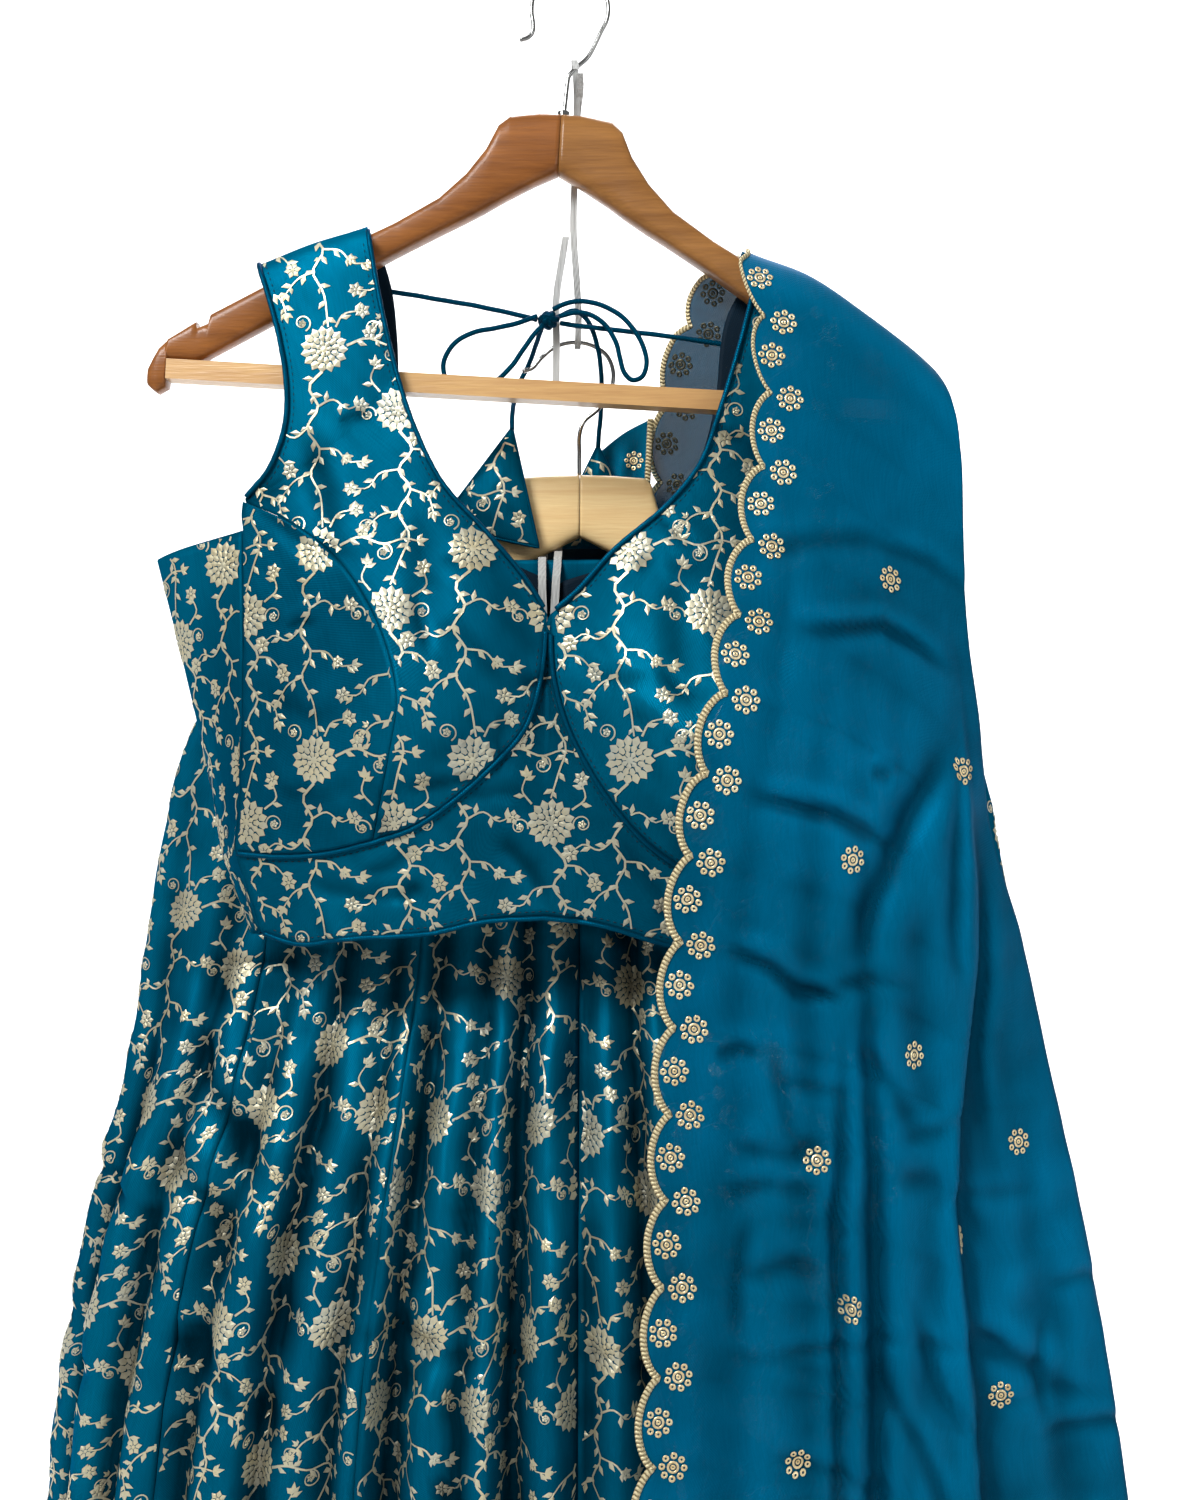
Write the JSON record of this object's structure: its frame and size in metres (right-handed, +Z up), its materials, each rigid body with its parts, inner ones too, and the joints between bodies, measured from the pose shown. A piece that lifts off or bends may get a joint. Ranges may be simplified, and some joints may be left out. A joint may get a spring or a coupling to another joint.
{
  "type": "lehenga set on a hanger",
  "caption": "South Asian choli, gathered skirt and sheer scalloped dupatta in teal brocade, hung on a wooden hanger.",
  "frame": {"origin": "inside top of the large hanger's hook, where it rests on a rail", "axes": "+Z up, +X to the viewer's right, +Y away from the viewer"},
  "size_m": [0.7712, 0.354, 1.3424],
  "materials": {
    "brocade": "satin silk with metallic thread flowers",
    "piping": "satin",
    "dori_cord": "satin covered cord",
    "organza": "sheer organza",
    "scallop_braid": "metallic thread embroidery",
    "varnished_wood": "varnished",
    "pale_wood": "lightly varnished",
    "chrome_wire": "polished",
    "cotton_tape": "matte"
  },
  "bodies": {
    "root": {"armhole_piping_left": "piping", "armhole_piping_right": "piping", "choli_back_left": "brocade", "choli_back_right": "brocade", "cup_inner_left": "brocade", "cup_inner_right": "brocade", "cup_outer_left": "brocade", "cup_outer_right": "brocade", "dori_knot": "dori_cord", "dori_left": "dori_cord", "dori_loop_left": "dori_cord", "dori_loop_right": "dori_cord", "dori_right": "dori_cord", "dori_tail_left": "dori_cord", "dori_tail_right": "dori_cord", "dupatta_back": "organza", "dupatta_flap": "organza", "dupatta_front": "organza", "hanger_bar": "pale_wood", "hanger_hook": "chrome_wire", "hanger_left": "varnished_wood", "hanger_right": "varnished_wood", "hem_piping": "piping", "kali_1": "brocade", "kali_10": "brocade", "kali_11": "brocade", "kali_12": "brocade", "kali_2": "brocade", "kali_3": "brocade", "kali_4": "brocade", "kali_5": "brocade", "kali_6": "brocade", "kali_7": "brocade", "kali_8": "brocade", "kali_9": "brocade", "latkan_left": "brocade", "latkan_right": "brocade", "midriff_front": "brocade", "neck_piping_left": "piping", "neck_piping_right": "piping", "scallops_back": "scallop_braid", "scallops_front": "scallop_braid", "side_left": "brocade", "side_right": "brocade", "skirt_loop_left": "cotton_tape", "skirt_loop_right": "cotton_tape", "skirt_tape_left": "cotton_tape", "skirt_tape_right": "cotton_tape", "small_hanger_hook": "chrome_wire", "small_hanger_left": "pale_wood", "small_hanger_right": "pale_wood", "tape_end": "cotton_tape", "tape_loop": "cotton_tape", "underbust_piping_left": "piping", "underbust_piping_right": "piping", "waistband": "brocade"}
  },
  "joints": []
}
